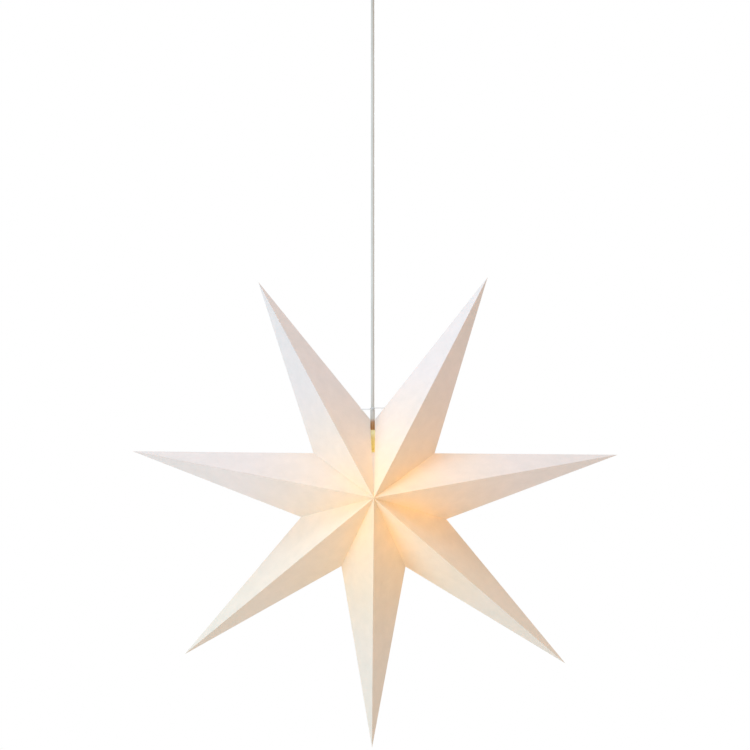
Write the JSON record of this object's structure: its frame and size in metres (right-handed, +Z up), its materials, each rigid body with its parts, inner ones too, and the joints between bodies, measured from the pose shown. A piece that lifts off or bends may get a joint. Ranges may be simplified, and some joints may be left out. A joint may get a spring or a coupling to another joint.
{
  "type": "paper star pendant lamp",
  "caption": "Hollow folded-card star with seven points, lit from inside, hung by a spring wire and a round cord from a ceiling cup.",
  "frame": {"origin": "on the ceiling plane at the cord's axis, the middle of the bracket's top face", "axes": "+Z up into the ceiling, the star's face looks along -Y, +X to the viewer's right"},
  "size_m": [0.6994, 0.18, 1.1499],
  "materials": {
    "star_card": "matt folded card, lets lamp light through",
    "white_cord": "smooth round white sheath",
    "white_enamel": "satin white enamel",
    "white_plastic": "moulded, slightly glossy",
    "zinc_steel": "zinc plated",
    "spring_steel": "drawn spring wire",
    "brass": "turned",
    "nickel_brass": "nickel plated",
    "ceramic": "unglazed",
    "opal_glass": "opal",
    "clear_glass": "clear",
    "black_glass": "glossy",
    "light_strip": "phosphor",
    "brown_insulation": "smooth",
    "blue_insulation": "smooth"
  },
  "bodies": {
    "ceiling_rose": {"ceiling_bracket": "zinc_steel", "ceiling_cup": "white_enamel", "cup_screws": "zinc_steel", "terminal_block": "white_plastic", "terminal_tubes": "brass", "terminal_screws": "zinc_steel", "block_screw": "zinc_steel", "cord_grip": "white_plastic", "grip_screw": "white_plastic", "grip_locknut": "zinc_steel", "cord_tail": "white_cord", "conductor_brown_top": "brown_insulation", "conductor_blue_top": "blue_insulation"},
    "cord_bend": {"cord_bend": "white_cord"},
    "lampholder": {"pendant_cord": "white_cord", "conductor_brown_low": "brown_insulation", "conductor_blue_low": "blue_insulation", "strain_sleeve": "white_cord", "holder_cap": "white_plastic", "holder_skirt": "white_plastic", "contact_carrier": "ceramic", "carrier_screws": "zinc_steel", "screw_shell": "brass", "centre_contact": "brass", "cord_collar": "white_plastic", "collar_screw": "white_plastic"},
    "bulb": {"bulb_glass": "opal_glass", "bulb_screw_cap": "nickel_brass", "bulb_insulator": "black_glass", "bulb_contact": "brass", "bulb_stem": "clear_glass", "bulb_filaments": "light_strip"},
    "hanger": {"hanger_wire": "spring_steel"},
    "shade": {"point_upper_left": "star_card", "point_left": "star_card", "point_lower_left": "star_card", "point_bottom": "star_card", "point_lower_right": "star_card", "point_right": "star_card", "point_upper_right": "star_card", "seam_strip_front": "star_card", "seam_strip_back": "star_card"}
  },
  "joints": [
    {"name": "swing_front_back", "type": "hinge", "parent": "ceiling_rose", "child": "cord_bend", "pos_m": [0, 0, -0.055], "axis": [1, 0, 0], "range_deg": [-20, 20]},
    {"name": "swing_sideways", "type": "hinge", "parent": "cord_bend", "child": "lampholder", "pos_m": [0, 0, -0.055], "axis": [0, 1, 0], "range_deg": [-20, 20]},
    {"name": "star_swivel", "type": "hinge", "parent": "lampholder", "child": "hanger", "pos_m": [0, 0, -0.6632], "axis": [0, 0, 1], "continuous": true},
    {"name": "star_tilt", "type": "hinge", "parent": "hanger", "child": "shade", "pos_m": [0, 0, -0.66315], "axis": [1, 0, 0], "range_deg": [-5, 5]},
    {"name": "bulb_out", "type": "slide", "parent": "lampholder", "child": "bulb", "axis": [0, 0, -1], "range_m": [0, 0.028]}
  ]
}
